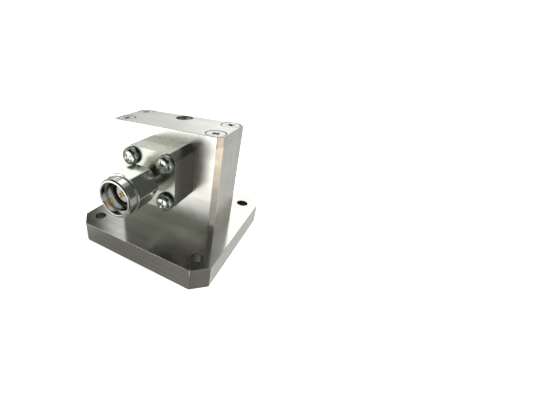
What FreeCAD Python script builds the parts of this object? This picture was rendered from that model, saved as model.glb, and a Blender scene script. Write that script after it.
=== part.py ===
import FreeCAD, Part
import math
import os
import Sketcher

# Right-angle adapter from a rectangular waveguide to a threaded coaxial plug.
# The flange lies on the XY plane with its mating face at Z = 0 and its middle at the origin.
# X runs along the wide side of the guide, the coaxial plug points towards -Y, the body rises along +Z.
# All sizes are millimetres.

SIZES = [
    # Flange
    ("flange_side", 41.3, "side of the square flange"),
    ("flange_thickness", 6.0, "thickness of the flange"),
    ("flange_corner", 3.6, "leg of the 45 degree cut at each flange corner"),
    ("bolt_hole_dia", 3.3, "bolt holes through the flange, at the core of their thread"),
    ("bolt_edge_x", 4.395, "bolt axis to the left and right side of the flange"),
    ("bolt_edge_y", 5.155, "bolt axis to the front and rear side of the flange"),
    # Guide and body
    ("guide_wide", 22.86, "wide inner side of the guide"),
    ("guide_narrow", 10.16, "narrow inner side of the guide"),
    ("tube_wall", 1.27, "wall of the tube end that is brazed through the flange"),
    ("side_wall", 4.52, "wall of the body at the short sides"),
    ("broad_wall", 2.07, "wall of the body at the long sides"),
    ("body_height", 24.6, "body above the flange, up to the cover"),
    ("edge_chamfer", 1.2, "leg of the chamfer along the upright edges"),
    # Cover
    ("cover_thickness", 2.5, "cover plate that shorts the guide"),
    ("cover_screw_length", 7.4, "cover screw from its head face to its end"),
    ("cover_head_dia", 4.8, "countersunk head of a cover screw"),
    ("cover_head_side", 0.4, "rim of that head to the short side of the cover"),
    ("cover_head_face", 0.35, "rim of that head to the long side of the cover"),
    ("cover_head_angle", 90.0, "full angle of the countersink, degrees"),
    ("cover_head_land", 0.1, "straight rim of the countersunk head"),
    ("cover_head_sink", 0.05, "countersunk head below the cover face"),
    ("tap_runout", 1.0, "tapped hole beyond the end of a cover screw"),
    ("plug_dia", 4.7, "set screw in the cover"),
    ("plug_margin", 0.6, "rim of the set screw to the rear face of the cover"),
    ("plug_recess", 0.5, "set screw below the cover face"),
    ("plug_slot_width", 0.8, "screwdriver slot of the set screw"),
    ("plug_slot_depth", 0.8, "depth of that slot"),
    # Connector block
    ("port_offset", 2.6, "connector axis beside the middle of the guide"),
    ("port_drop", 7.0, "connector axis below the cover, which shorts the guide"),
    ("block_side", 14.0, "side of the square connector block"),
    ("block_depth", 8.7, "block from the body to its front face"),
    ("block_corner", 1.6, "leg of the 45 degree cut at each block corner"),
    ("block_screw_edge", 2.35, "block screw axis to the sides of the block"),
    ("thread_floor", 0.35, "body wall left under a block screw"),
    # Small screws
    ("screw_dia", 2.5, "thread of every small screw"),
    ("screw_point", 0.3, "chamfer at the end of a screw"),
    ("screw_clearance", 0.2, "clearance hole over the thread"),
    ("head_dia", 4.4, "round head of a block screw"),
    ("head_height", 1.9, "height of that head"),
    ("head_round", 0.95, "rounding of its upper edge"),
    ("cross_span", 2.3, "cross recess from tip to tip"),
    ("cross_width", 0.55, "width of an arm of the cross"),
    ("cross_depth", 0.9, "depth of the cross recess"),
    # Connector shell
    ("bore_dia", 4.1, "bore of the outer conductor"),
    ("shell_dia", 5.4, "neck of the shell"),
    ("seat_step", 0.9, "rear collar standing out of the neck, held by the block"),
    ("seat_thickness", 1.5, "thickness of that collar"),
    ("shell_reach", 7.6, "shell shoulder in front of the block"),
    ("ferrule_wall", 0.25, "wall of the contact ferrule in front of the shoulder"),
    ("ferrule_length", 1.3, "length of the ferrule"),
    ("ferrule_edge", 0.08, "chamfer at the ferrule tip"),
    # Coupling nut
    ("nut_gap", 2.6, "nut in front of the block"),
    ("nut_flat_drop", 0.3, "flats of the hexagon inside the outline of the front collar"),
    ("nut_corner_break", 0.06, "corners of the hexagon turned off by this much"),
    ("nut_hex_length", 6.7, "length of the hexagon"),
    ("nut_chamfer_rise", 0.3, "length of the rear hexagon chamfer along the axis"),
    ("nut_disc_length", 0.5, "round disc that ends the flats of the hexagon"),
    ("nut_disc_bevel", 0.12, "bevel at the front edge of that disc"),
    ("nut_relief_width", 0.25, "turned groove between disc and front collar"),
    ("nut_relief_depth", 0.2, "depth of that groove below the collar"),
    ("nut_collar_length", 2.05, "length of the round front collar"),
    ("nut_collar_wall", 0.8, "wall of that collar round the mouth"),
    ("nut_rim", 0.2, "chamfer at the outer rim of the collar"),
    ("nut_fit", 0.08, "radial running clearance of the nut on the shell"),
    ("nut_lip", 1.4, "rear lip of the nut behind the snap ring"),
    ("nut_web", 0.86, "wall between the snap ring groove and the thread"),
    ("nut_groove_room", 0.2, "room round the snap ring in the groove of the nut"),
    ("nut_thread_room", 0.25, "threaded bore outside the neck, at its mean thread diameter"),
    ("nut_mouth_step", 0.55, "plain mouth outside the threaded bore"),
    ("nut_mouth_depth", 1.3, "depth of that mouth"),
    ("nut_bevel", 0.12, "bevel at the mouth"),
    # Snap ring and gasket
    ("ring_thickness", 0.6, "snap ring along the axis"),
    ("ring_floor", 0.25, "wall of the shell left under the snap ring"),
    ("ring_grip", 0.35, "snap ring standing out of the shell"),
    ("ring_play", 0.07, "axial play of the nut on each side of the snap ring"),
    ("ring_opening", 30.0, "open angle of the snap ring, degrees"),
    ("gasket_thickness", 0.8, "sealing ring in front of the shoulder"),
    ("gasket_relief", 0.05, "sealing ring inside the outline of the shell"),
    # Dielectrics, contact and probe
    ("bead_recess", 0.05, "dielectric face behind the ferrule tip"),
    ("bead_tail", 0.5, "front dielectric reaching back into the block"),
    ("contact_dia", 1.27, "centre contact inside the dielectric"),
    ("pin_dia", 0.92, "mating pin"),
    ("pin_length", 1.45, "mating pin in front of the dielectric"),
    ("pin_root", 0.45, "full diameter part of the pin at its root"),
    ("pin_taper", 0.2, "taper between root and pin"),
    ("pin_nose", 0.3, "tapered nose of the pin"),
    ("pin_nose_dia", 0.4, "flat at the end of the nose"),
    ("probe_reach", 6.1, "contact reaching into the guide"),
    ("sleeve_dia", 3.0, "probe sleeve on the contact"),
    ("sleeve_length", 4.8, "length of the probe sleeve"),
    ("sleeve_cap", 0.4, "closed end of the probe sleeve"),
    ("sleeve_round", 0.3, "chamfer at the end of the probe sleeve"),
]

# Places that several pieces share, as formulas over the sheet.
BODY_WIDE = "(sizes.guide_wide / 2 + sizes.side_wall)"
BODY_NARROW = "(sizes.guide_narrow / 2 + sizes.broad_wall)"
TUBE_WIDE = "(sizes.guide_wide / 2 + sizes.tube_wall)"
TUBE_NARROW = "(sizes.guide_narrow / 2 + sizes.tube_wall)"
COVER_BASE = "(sizes.flange_thickness + sizes.body_height)"
PORT_HEIGHT = "(sizes.body_height - sizes.port_drop)"
PORT_LEVEL = "(sizes.flange_thickness + " + PORT_HEIGHT + ")"
BLOCK_FACE = "(" + BODY_NARROW + " + sizes.block_depth)"
COVER_SCREW_X = "(" + BODY_WIDE + " - sizes.cover_head_side - sizes.cover_head_dia / 2)"
COVER_SCREW_Y = "(" + BODY_NARROW + " - sizes.cover_head_face - sizes.cover_head_dia / 2)"
PLUG_Y = "(" + BODY_NARROW + " - sizes.plug_margin - sizes.plug_dia / 2)"
BLOCK_SCREW = "(sizes.block_side / 2 - sizes.block_screw_edge)"
NECK = "(sizes.shell_dia / 2)"
FERRULE = "(sizes.bore_dia / 2 + sizes.ferrule_wall)"
RING_FLOOR = "(sizes.bore_dia / 2 + sizes.ring_floor)"
RING_RIM = "(" + NECK + " + sizes.ring_grip)"
RING_START = "(sizes.nut_gap + sizes.nut_lip + sizes.ring_play)"
TAP_DEPTH = "(sizes.cover_screw_length + sizes.cover_head_sink - sizes.cover_thickness + sizes.tap_runout)"

FACE_TO_FRONT = FreeCAD.Rotation(FreeCAD.Vector(1, 0, 0), 90)

doc = FreeCAD.newDocument("adapter")
sizes = doc.addObject("Spreadsheet::Sheet", "sizes")
for row, (alias, value, meaning) in enumerate(SIZES, start=1):
    sizes.set("A%d" % row, meaning)
    sizes.set("B%d" % row, str(value))
    sizes.setAlias("B%d" % row, alias)
doc.recompute()


def new_body(label, place=("0", "0", "0"), rotation=None):
    """Start one sub-part, placed by three formulas."""
    body = doc.addObject("PartDesign::Body", label)
    body.Label = label
    if rotation is not None:
        body.Placement = FreeCAD.Placement(FreeCAD.Vector(), rotation)
    for axis, formula in zip("xyz", place):
        if formula != "0":
            body.setExpression("Placement.Base." + axis, formula)
    return body


def new_sketch(body, name, role, height=None):
    """Attach a sketch to an origin plane of its own body, lifted by a formula."""
    plane = [item for item in body.Origin.OriginFeatures if item.Role == role][0]
    sketch = body.newObject("Sketcher::SketchObject", name)
    sketch.AttachmentSupport = [(plane, "")]
    sketch.MapMode = "FlatFace"
    if height is not None:
        sketch.setExpression("AttachmentOffset.Base.z", height)
    return sketch


def hold(sketch, kind, geometry, position, formula):
    """Fix one coordinate of a sketch point by a formula, measured from the origin of the sketch."""
    axis_across = -1
    axis_upright = -2
    axis = axis_upright if kind == "DistanceX" else axis_across
    if formula == "0":
        sketch.addConstraint(Sketcher.Constraint("PointOnObject", geometry, position, axis))
        return
    start = (axis_across, 1)
    index = sketch.addConstraint(Sketcher.Constraint(kind, *start, geometry, position, 1.0))
    sketch.setExpression("Constraints[%d]" % index, formula)


def outline(sketch, corners):
    """Draw a closed outline of straight sides, each corner held by a pair of formulas."""
    count = len(corners)
    first = sketch.GeometryCount
    turns = [2 * math.pi * k / count for k in range(count)]
    loose = [FreeCAD.Vector(math.cos(turn), math.sin(turn), 0) for turn in turns]
    for k in range(count):
        sketch.addGeometry(Part.LineSegment(loose[k], loose[(k + 1) % count]), False)
    for k in range(count):
        follower = first + (k + 1) % count
        sketch.addConstraint(Sketcher.Constraint("Coincident", first + k, 2, follower, 1))
    for k, (across, up) in enumerate(corners):
        hold(sketch, "DistanceX", first + k, 1, across)
        hold(sketch, "DistanceY", first + k, 1, up)


def circle(sketch, across, up, diameter):
    """Draw a circle with its middle and diameter held by formulas."""
    upright = FreeCAD.Vector(0, 0, 1)
    geometry = sketch.addGeometry(Part.Circle(FreeCAD.Vector(1, 1, 0), upright, 1), False)
    hold(sketch, "DistanceX", geometry, 3, across)
    hold(sketch, "DistanceY", geometry, 3, up)
    index = sketch.addConstraint(Sketcher.Constraint("Diameter", geometry, 1.0))
    sketch.setExpression("Constraints[%d]" % index, diameter)


def cut_corner_square(half_x, half_y, cut):
    """Corners of a rectangle about the middle with 45 degree cuts."""
    near_x = half_x + " - " + cut
    near_y = half_y + " - " + cut
    return [
        ("-(" + near_x + ")", "-" + half_y),
        (near_x, "-" + half_y),
        (half_x, "-(" + near_y + ")"),
        (half_x, near_y),
        (near_x, half_y),
        ("-(" + near_x + ")", half_y),
        ("-" + half_x, near_y),
        ("-" + half_x, "-(" + near_y + ")"),
    ]


def rectangle(half_x, half_y):
    """Corners of a rectangle about the middle."""
    return [
        ("-" + half_x, "-" + half_y),
        (half_x, "-" + half_y),
        (half_x, half_y),
        ("-" + half_x, half_y),
    ]


def four_circles(sketch, half_x, half_y, diameter, middle_x="0", middle_y="0"):
    """Draw a circle at each corner of a rectangle about a middle point."""
    for side_x in ("-", "+"):
        for side_y in ("-", "+"):
            across = middle_x + " " + side_x + " " + half_x
            up = middle_y + " " + side_y + " " + half_y
            circle(sketch, across, up, diameter)


def pad(body, name, sketch, length, down=False):
    """Raise a sketch by a formula."""
    feature = body.newObject("PartDesign::Pad", name)
    feature.Profile = sketch
    feature.setExpression("Length", length)
    feature.Reversed = down
    return feature


def pocket(body, name, sketch, depth, along_normal=False):
    """Cut a sketch into the body, against the sketch normal unless told otherwise."""
    feature = body.newObject("PartDesign::Pocket", name)
    feature.Profile = sketch
    feature.setExpression("Length", depth)
    feature.Reversed = along_normal
    return feature


def turned(label, base, corners, opening=None):
    """Turn a profile of (radius, length along the axis) pairs about the connector axis."""
    place = ("sizes.port_offset", "-" + base, PORT_LEVEL)
    body = new_body(label, place, FACE_TO_FRONT)
    sketch = new_sketch(body, label + "_profile", "XZ_Plane")
    outline(sketch, corners)
    spin(body, sketch, opening)
    return body


def spin(body, sketch, opening=None):
    """Revolve a profile about the upright axis of its sketch."""
    feature = body.newObject("PartDesign::Revolution", body.Label + "_turning")
    feature.Profile = sketch
    feature.ReferenceAxis = (sketch, ["V_Axis"])
    if opening is None:
        feature.Angle = 360
    else:
        feature.setExpression("Angle", "360 - " + opening)
    return feature


def round_top(body, turning, radius):
    """Round the highest circular edge of a turned feature."""
    doc.recompute()
    circles = [
        (edge.CenterOfMass.z, index)
        for index, edge in enumerate(turning.Shape.Edges, start=1)
        if edge.Curve.TypeId == "Part::GeomCircle"
    ]
    feature = body.newObject("PartDesign::Fillet", body.Label + "_rounding")
    feature.Base = (turning, ["Edge%d" % max(circles)[1]])
    feature.setExpression("Radius", radius)


def cross_recess(body, top):
    """Sink a cross recess into a screw head whose face lies at the height `top`."""
    tip = "sizes.cross_span / 2"
    arm = "sizes.cross_width / 2"
    sketch = new_sketch(body, body.Label + "_cross", "XY_Plane", top)
    quarter = [(tip, "-" + arm), (tip, arm), (arm, arm)]
    corners = []
    for turn in range(4):
        for across, up in quarter:
            corners.append(quarter_turn(across, up, turn))
    outline(sketch, corners)
    pocket(body, body.Label + "_recess", sketch, "sizes.cross_depth")


def quarter_turn(across, up, turn):
    """Turn a pair of formulas by quarter turns."""
    for _ in range(turn):
        across, up = negative(up), across
    return across, up


def negative(formula):
    """The same formula with its sign changed."""
    if formula.startswith("-"):
        return formula[1:]
    return "-" + formula


def build_flange():
    """Square flange with cut corners, an opening for the tube end and four bolt holes."""
    body = new_body("flange")
    half = "sizes.flange_side / 2"
    face = new_sketch(body, "flange_outline", "XY_Plane")
    outline(face, cut_corner_square(half, half, "sizes.flange_corner"))
    pad(body, "flange_plate", face, "sizes.flange_thickness")
    opening = new_sketch(body, "flange_opening_outline", "XY_Plane", "sizes.flange_thickness")
    outline(opening, rectangle(TUBE_WIDE, TUBE_NARROW))
    pocket(body, "flange_opening", opening, "sizes.flange_thickness")
    bolts = new_sketch(body, "flange_bolt_circles", "XY_Plane", "sizes.flange_thickness")
    bolt_x = "(" + half + " - sizes.bolt_edge_x)"
    bolt_y = "(" + half + " - sizes.bolt_edge_y)"
    four_circles(bolts, bolt_x, bolt_y, "sizes.bolt_hole_dia")
    pocket(body, "flange_bolt_holes", bolts, "sizes.flange_thickness")
    return body


def build_guide_body():
    """Milled guide body: chamfered block, tube end through the flange, channel, screw holes and port."""
    body = new_body("guide_body", ("0", "0", "sizes.flange_thickness"))
    block = new_sketch(body, "body_outline", "XY_Plane")
    outline(block, cut_corner_square(BODY_WIDE, BODY_NARROW, "sizes.edge_chamfer"))
    pad(body, "body_block", block, "sizes.body_height")
    tube = new_sketch(body, "tube_outline", "XY_Plane")
    outline(tube, rectangle(TUBE_WIDE, TUBE_NARROW))
    pad(body, "tube_end", tube, "sizes.flange_thickness", down=True)
    channel = new_sketch(body, "channel_outline", "XY_Plane", "sizes.body_height")
    outline(channel, rectangle("sizes.guide_wide / 2", "sizes.guide_narrow / 2"))
    pocket(body, "channel", channel, "sizes.body_height + sizes.flange_thickness")
    taps = new_sketch(body, "cover_tap_circles", "XY_Plane", "sizes.body_height")
    four_circles(taps, COVER_SCREW_X, COVER_SCREW_Y, "sizes.screw_dia")
    pocket(body, "cover_taps", taps, TAP_DEPTH)
    port = new_sketch(body, "port_circle", "XZ_Plane", BODY_NARROW)
    circle(port, "sizes.port_offset", PORT_HEIGHT, "sizes.bore_dia")
    pocket(body, "port_hole", port, "sizes.broad_wall")
    seats = new_sketch(body, "block_tap_circles", "XZ_Plane", BODY_NARROW)
    middle = ("sizes.port_offset", PORT_HEIGHT)
    four_circles(seats, BLOCK_SCREW, BLOCK_SCREW, "sizes.screw_dia", *middle)
    pocket(body, "block_taps", seats, "sizes.broad_wall - sizes.thread_floor")
    return body


def build_cover():
    """Cover plate that closes the guide, with countersunk screw holes and the set screw hole."""
    body = new_body("cover_plate", ("0", "0", COVER_BASE))
    face = new_sketch(body, "cover_outline", "XY_Plane")
    outline(face, cut_corner_square(BODY_WIDE, BODY_NARROW, "sizes.edge_chamfer"))
    pad(body, "cover_slab", face, "sizes.cover_thickness")
    screws = new_sketch(body, "cover_screw_circles", "XY_Plane", "sizes.cover_thickness")
    clearance_hole = "sizes.screw_dia + sizes.screw_clearance"
    four_circles(screws, COVER_SCREW_X, COVER_SCREW_Y, clearance_hole)
    doc.recompute()
    holes = body.newObject("PartDesign::Hole", "cover_screw_holes")
    holes.Profile = screws
    holes.DepthType = "ThroughAll"
    holes.ThreadType = "None"
    holes.setExpression("Diameter", clearance_hole)
    holes.HoleCutType = "Countersink"
    holes.HoleCutCustomValues = True
    straight = "2 * (sizes.cover_head_land + sizes.cover_head_sink)"
    slope = "tan(sizes.cover_head_angle / 2 * 1deg)"
    holes.setExpression("HoleCutDiameter", "sizes.cover_head_dia + " + straight + " * " + slope)
    holes.setExpression("HoleCutCountersinkAngle", "sizes.cover_head_angle")
    plug = new_sketch(body, "cover_plug_circle", "XY_Plane", "sizes.cover_thickness")
    circle(plug, "0", PLUG_Y, "sizes.plug_dia")
    pocket(body, "cover_plug_hole", plug, "sizes.cover_thickness")
    return body


def build_cover_screw(label, side_x, side_y):
    """Countersunk cover screw, standing on its end."""
    place = (
        side_x + COVER_SCREW_X,
        side_y + COVER_SCREW_Y,
        COVER_BASE + " + sizes.cover_thickness - sizes.cover_head_sink - sizes.cover_screw_length",
    )
    body = new_body(label, place)
    radius = "sizes.screw_dia / 2"
    rim = "sizes.cover_head_dia / 2"
    top = "sizes.cover_screw_length"
    cone = "(" + rim + " - " + radius + ") / tan(sizes.cover_head_angle / 2 * 1deg)"
    sketch = new_sketch(body, label + "_profile", "XZ_Plane")
    outline(sketch, [
        ("0", "0"),
        (radius + " - sizes.screw_point", "0"),
        (radius, "sizes.screw_point"),
        (radius, top + " - sizes.cover_head_land - " + cone),
        (rim, top + " - sizes.cover_head_land"),
        (rim, top),
        ("0", top),
    ])
    spin(body, sketch)
    cross_recess(body, top)
    return body


def build_plug():
    """Slotted set screw in the cover, flush with its underside."""
    body = new_body("set_screw", ("0", PLUG_Y, COVER_BASE))
    height = "sizes.cover_thickness - sizes.plug_recess"
    face = new_sketch(body, "plug_circle", "XY_Plane")
    circle(face, "0", "0", "sizes.plug_dia")
    pad(body, "plug_slug", face, height)
    slot = new_sketch(body, "plug_slot_outline", "XY_Plane", height)
    outline(slot, rectangle("sizes.plug_dia", "sizes.plug_slot_width / 2"))
    pocket(body, "plug_slot", slot, "sizes.plug_slot_depth")
    return body


def build_block():
    """Connector block with cut corners, a stepped bore for the shell and four screw holes."""
    body = new_body("connector_block", ("sizes.port_offset", "-" + BODY_NARROW, PORT_LEVEL), FACE_TO_FRONT)
    face = new_sketch(body, "block_outline", "XY_Plane")
    outline(face, cut_corner_square("sizes.block_side / 2", "sizes.block_side / 2", "sizes.block_corner"))
    pad(body, "block_slab", face, "sizes.block_depth")
    bore = new_sketch(body, "block_bore_circle", "XY_Plane", "sizes.block_depth")
    circle(bore, "0", "0", "sizes.shell_dia")
    pocket(body, "block_bore", bore, "sizes.block_depth")
    seat = new_sketch(body, "block_seat_circle", "XY_Plane")
    circle(seat, "0", "0", "sizes.shell_dia + 2 * sizes.seat_step")
    pocket(body, "block_seat", seat, "sizes.seat_thickness", along_normal=True)
    screws = new_sketch(body, "block_screw_circles", "XY_Plane", "sizes.block_depth")
    four_circles(screws, BLOCK_SCREW, BLOCK_SCREW, "sizes.screw_dia + sizes.screw_clearance")
    pocket(body, "block_screw_holes", screws, "sizes.block_depth")
    return body


def build_block_screw(label, side_x, side_z):
    """Round-head block screw, from its end in the body wall to its head on the block."""
    place = (
        "sizes.port_offset " + side_x + " " + BLOCK_SCREW,
        "-" + BODY_NARROW + " + sizes.broad_wall - sizes.thread_floor",
        PORT_LEVEL + " " + side_z + " " + BLOCK_SCREW,
    )
    body = new_body(label, place, FACE_TO_FRONT)
    radius = "sizes.screw_dia / 2"
    head = "sizes.head_dia / 2"
    shank = "sizes.block_depth + sizes.broad_wall - sizes.thread_floor"
    sketch = new_sketch(body, label + "_profile", "XZ_Plane")
    outline(sketch, [
        ("0", "0"),
        (radius + " - sizes.screw_point", "0"),
        (radius, "sizes.screw_point"),
        (radius, shank),
        (head, shank),
        (head, shank + " + sizes.head_height"),
        ("0", shank + " + sizes.head_height"),
    ])
    round_top(body, spin(body, sketch), "sizes.head_round")
    cross_recess(body, shank + " + sizes.head_height")
    return body


def build_shell():
    """Outer conductor: rear collar in the block, neck with the snap ring groove, shoulder and ferrule."""
    bore = "sizes.bore_dia / 2"
    seat = NECK + " + sizes.seat_step"
    groove = "sizes.block_depth + " + RING_START
    groove_end = groove + " + sizes.ring_thickness"
    shoulder = "sizes.block_depth + sizes.shell_reach"
    tip = shoulder + " + sizes.ferrule_length"
    return turned("connector_shell", BODY_NARROW, [
        (bore, "0"),
        (seat, "0"),
        (seat, "sizes.seat_thickness"),
        (NECK, "sizes.seat_thickness"),
        (NECK, groove),
        (RING_FLOOR, groove),
        (RING_FLOOR, groove_end),
        (NECK, groove_end),
        (NECK, shoulder),
        (FERRULE, shoulder),
        (FERRULE, tip + " - sizes.ferrule_edge"),
        (FERRULE + " - sizes.ferrule_edge", tip),
        (bore, tip),
    ])


def build_snap_ring():
    """Open ring in the shell groove that holds the nut."""
    return turned("snap_ring", "(" + BLOCK_FACE + " + " + RING_START + ")", [
        (RING_FLOOR, "0"),
        (RING_RIM, "0"),
        (RING_RIM, "sizes.ring_thickness"),
        (RING_FLOOR, "sizes.ring_thickness"),
    ], opening="sizes.ring_opening")


def build_gasket():
    """Sealing ring on the ferrule, against the shoulder."""
    outer = NECK + " - sizes.gasket_relief"
    return turned("gasket", "(" + BLOCK_FACE + " + sizes.shell_reach)", [
        (FERRULE, "0"),
        (outer, "0"),
        (outer, "sizes.gasket_thickness"),
        (FERRULE, "sizes.gasket_thickness"),
    ])


def build_nut():
    """Coupling nut: hexagon, disc, relief, round collar, mouth, thread bore, ring groove and rear lip."""
    thread = "(" + NECK + " + sizes.nut_thread_room)"
    mouth = "(" + thread + " + sizes.nut_mouth_step)"
    collar = "(" + mouth + " + sizes.nut_collar_wall)"
    hex_reach = "(" + collar + " - sizes.nut_flat_drop) * 2 / sqrt(3)"
    corner = hex_reach + " - sizes.nut_corner_break"
    rise = "sizes.nut_chamfer_rise"
    hexagon = "sizes.nut_hex_length"
    disc = hexagon + " + sizes.nut_disc_length"
    relief = disc + " + sizes.nut_relief_width"
    front = relief + " + sizes.nut_collar_length"
    running = NECK + " + sizes.nut_fit"
    groove = RING_RIM + " + sizes.nut_groove_room"
    groove_end = "sizes.nut_lip + sizes.ring_thickness + 2 * sizes.ring_play"
    web_end = groove_end + " + sizes.nut_web"
    body = turned("coupling_nut", "(" + BLOCK_FACE + " + sizes.nut_gap)", [
        (running, "0"),
        (collar, "0"),
        (corner, rise),
        (corner, disc + " - sizes.nut_disc_bevel"),
        (corner + " - sizes.nut_disc_bevel", disc),
        (collar + " - sizes.nut_relief_depth", disc),
        (collar + " - sizes.nut_relief_depth", relief),
        (collar, relief),
        (collar, front + " - sizes.nut_rim"),
        (collar + " - sizes.nut_rim", front),
        (mouth + " + sizes.nut_bevel", front),
        (mouth, front + " - sizes.nut_bevel"),
        (mouth, front + " - sizes.nut_mouth_depth"),
        (thread, front + " - sizes.nut_mouth_depth"),
        (thread, web_end),
        (running, web_end),
        (running, groove_end),
        (groove, groove_end),
        (groove, "sizes.nut_lip"),
        (running, "sizes.nut_lip"),
    ])
    flats = new_sketch(body, "nut_flats_outline", "XY_Plane", hexagon)
    hex_corners = []
    for step in range(6):
        angle = "(60deg * %d)" % step
        across = hex_reach + " * cos" + angle
        up = hex_reach + " * sin" + angle if step % 3 else "0"
        hex_corners.append((across, up))
    outline(flats, hex_corners)
    circle(flats, "0", "0", "4 * " + hex_reach)
    pocket(body, "nut_flats_cut", flats, hexagon)
    return body


def build_bead():
    """Front dielectric seen in the mouth of the connector."""
    length = "sizes.bead_tail + sizes.shell_reach + sizes.ferrule_length - sizes.bead_recess"
    return turned("dielectric_bead", "(" + BLOCK_FACE + " - sizes.bead_tail)", [
        ("sizes.contact_dia / 2", "0"),
        ("sizes.bore_dia / 2", "0"),
        ("sizes.bore_dia / 2", length),
        ("sizes.contact_dia / 2", length),
    ])


def build_sleeve():
    """Rear dielectric from the front one to the inner wall of the guide."""
    length = "sizes.broad_wall + sizes.block_depth - sizes.bead_tail"
    return turned("dielectric_sleeve", "(sizes.guide_narrow / 2)", [
        ("sizes.contact_dia / 2", "0"),
        ("sizes.bore_dia / 2", "0"),
        ("sizes.bore_dia / 2", length),
        ("sizes.contact_dia / 2", length),
    ])


def build_contact():
    """Centre contact from the probe end inside the guide to the nose of the mating pin."""
    thick = "sizes.contact_dia / 2"
    thin = "sizes.pin_dia / 2"
    face = (
        "sizes.probe_reach + sizes.broad_wall + sizes.block_depth"
        " + sizes.shell_reach + sizes.ferrule_length - sizes.bead_recess"
    )
    return turned("centre_contact", "(sizes.guide_narrow / 2 - sizes.probe_reach)", [
        ("0", "0"),
        (thick, "0"),
        (thick, face + " + sizes.pin_root"),
        (thin, face + " + sizes.pin_root + sizes.pin_taper"),
        (thin, face + " + sizes.pin_length - sizes.pin_nose"),
        ("sizes.pin_nose_dia / 2", face + " + sizes.pin_length"),
        ("0", face + " + sizes.pin_length"),
    ])


def build_probe_sleeve():
    """Closed sleeve on the end of the contact that widens the probe."""
    base = "(sizes.guide_narrow / 2 - sizes.probe_reach - sizes.sleeve_cap)"
    outer = "sizes.sleeve_dia / 2"
    return turned("probe_sleeve", base, [
        ("0", "0"),
        (outer + " - sizes.sleeve_round", "0"),
        (outer, "sizes.sleeve_round"),
        (outer, "sizes.sleeve_length"),
        ("sizes.contact_dia / 2", "sizes.sleeve_length"),
        ("sizes.contact_dia / 2", "sizes.sleeve_cap"),
        ("0", "sizes.sleeve_cap"),
    ])


parts = [
    build_flange(),
    build_guide_body(),
    build_cover(),
    build_plug(),
    build_block(),
    build_shell(),
    build_snap_ring(),
    build_gasket(),
    build_nut(),
    build_bead(),
    build_sleeve(),
    build_contact(),
    build_probe_sleeve(),
]
for depth_name, side_y in (("front", "-"), ("rear", "")):
    for side_name, side_x in (("left", "-"), ("right", "")):
        parts.append(build_cover_screw("cover_screw_%s_%s" % (depth_name, side_name), side_x, side_y))
for level_name, side_z in (("upper", "+"), ("lower", "-")):
    for side_name, side_x in (("left", "-"), ("right", "+")):
        parts.append(build_block_screw("block_screw_%s_%s" % (level_name, side_name), side_x, side_z))
doc.recompute()

for item in doc.Objects:
    if "Invalid" in item.State or "Error" in item.State:
        raise RuntimeError("%s failed: %s" % (item.Label, item.State))
for item in parts:
    if item.Shape.isNull() or not item.Shape.isValid() or len(item.Shape.Solids) != 1:
        raise RuntimeError("%s has no valid single solid" % item.Label)

os.makedirs("parts", exist_ok=True)
for item in parts:
    item.Shape.exportStep("parts/%s.step" % item.Label)
    print("%-26s %9.2f mm3" % (item.Label, item.Shape.Volume))
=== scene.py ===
"""Studio scene of a right-angle adapter from a rectangular guide to a threaded coaxial plug.

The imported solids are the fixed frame. Milled pieces are copies of their solids with softened edges.
Turned pieces, screws and the thread are made anew at a finer resolution. Classes give millimetres and
degrees, meshes are in metres. A turned profile is pairs of radius and distance along the connector
axis, which runs from the middle of the flange's plane to -Y, the plug's front.
"""
import sys
import logging
import math
from dataclasses import dataclass
from enum import Enum
from typing import Callable, Optional, Sequence, Union

import bmesh
import bpy
from mathutils import Matrix, Vector


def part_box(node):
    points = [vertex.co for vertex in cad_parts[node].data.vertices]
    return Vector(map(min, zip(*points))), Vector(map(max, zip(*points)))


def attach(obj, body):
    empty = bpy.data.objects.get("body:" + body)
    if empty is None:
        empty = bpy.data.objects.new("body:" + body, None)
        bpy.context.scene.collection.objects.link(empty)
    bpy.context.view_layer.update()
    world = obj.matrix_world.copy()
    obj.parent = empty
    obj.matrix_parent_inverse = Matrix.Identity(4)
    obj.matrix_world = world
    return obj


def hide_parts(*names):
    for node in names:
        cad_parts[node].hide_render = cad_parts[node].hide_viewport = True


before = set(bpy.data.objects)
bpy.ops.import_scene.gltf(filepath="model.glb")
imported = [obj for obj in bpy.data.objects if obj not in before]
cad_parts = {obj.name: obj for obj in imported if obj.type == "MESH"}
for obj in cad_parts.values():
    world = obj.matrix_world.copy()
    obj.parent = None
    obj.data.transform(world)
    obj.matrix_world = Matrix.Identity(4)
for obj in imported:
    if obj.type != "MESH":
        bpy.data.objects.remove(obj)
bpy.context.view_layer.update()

MM = 0.001
ADAPTER = "adapter"
NUT = "nut"
# Painted shade: the attribute below darkens a finish in holes, recesses and on shaded sides.
PAINTED_SHADE = "recess"  # attribute that darkens a finish, from 0 to 1
WHITE = (1.0, 1.0, 1.0, 1.0)
UPWARDS = Vector((0, 0, 1))
FORWARDS = Vector((0, -1, 0))

log = logging.getLogger("adapter")

Colour = tuple[float, float, float]
Span = tuple[float, float]
Loop = list[Vector]
Profile = Sequence[tuple[float, float]]
Piece = bpy.types.Object
Socket = bpy.types.NodeSocket
Sockets = bpy.types.bpy_prop_collection
Value = Union[float, int, Sequence[float], Socket]
EdgeShare = Callable[[Vector, Vector], float]
FaceMark = Callable[[Vector, Vector], float]


class Cut(Enum):
    """How the surface of a metal piece was machined."""

    MILLED = "straight lines left by a cutter"
    TURNED = "rings left by a lathe"


# --- Node trees ---


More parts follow.
